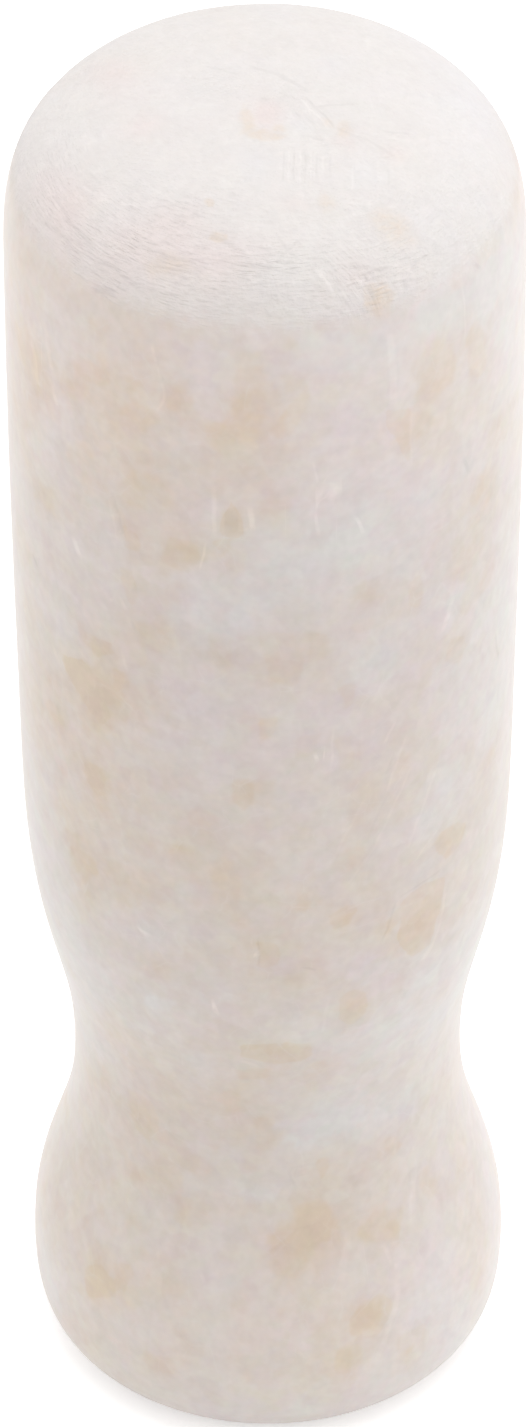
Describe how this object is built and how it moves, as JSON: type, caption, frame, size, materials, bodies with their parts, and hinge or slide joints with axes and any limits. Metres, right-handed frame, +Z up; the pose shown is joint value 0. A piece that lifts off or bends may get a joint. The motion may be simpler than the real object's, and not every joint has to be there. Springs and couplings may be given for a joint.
{
  "type": "stone pestle",
  "caption": "Turned marble pestle: a stout tapering shaft with a rough, blunt grinding end, a drawn-in waist and a rounded grip knob that stands on its flat foot.",
  "frame": {"origin": "centre of the flat foot under the grip knob, on the turning axis", "axes": "+Z up along the turning axis, from the foot to the crown of the grinding end; X and Y are equal because the form is turned"},
  "size_m": [0.042, 0.042, 0.1287],
  "materials": {
    "marble": "pale cream and lilac-white marble, polished, with the grinding end left ground and matt"
  },
  "bodies": {
    "root": {"pestle": "marble"}
  },
  "joints": []
}
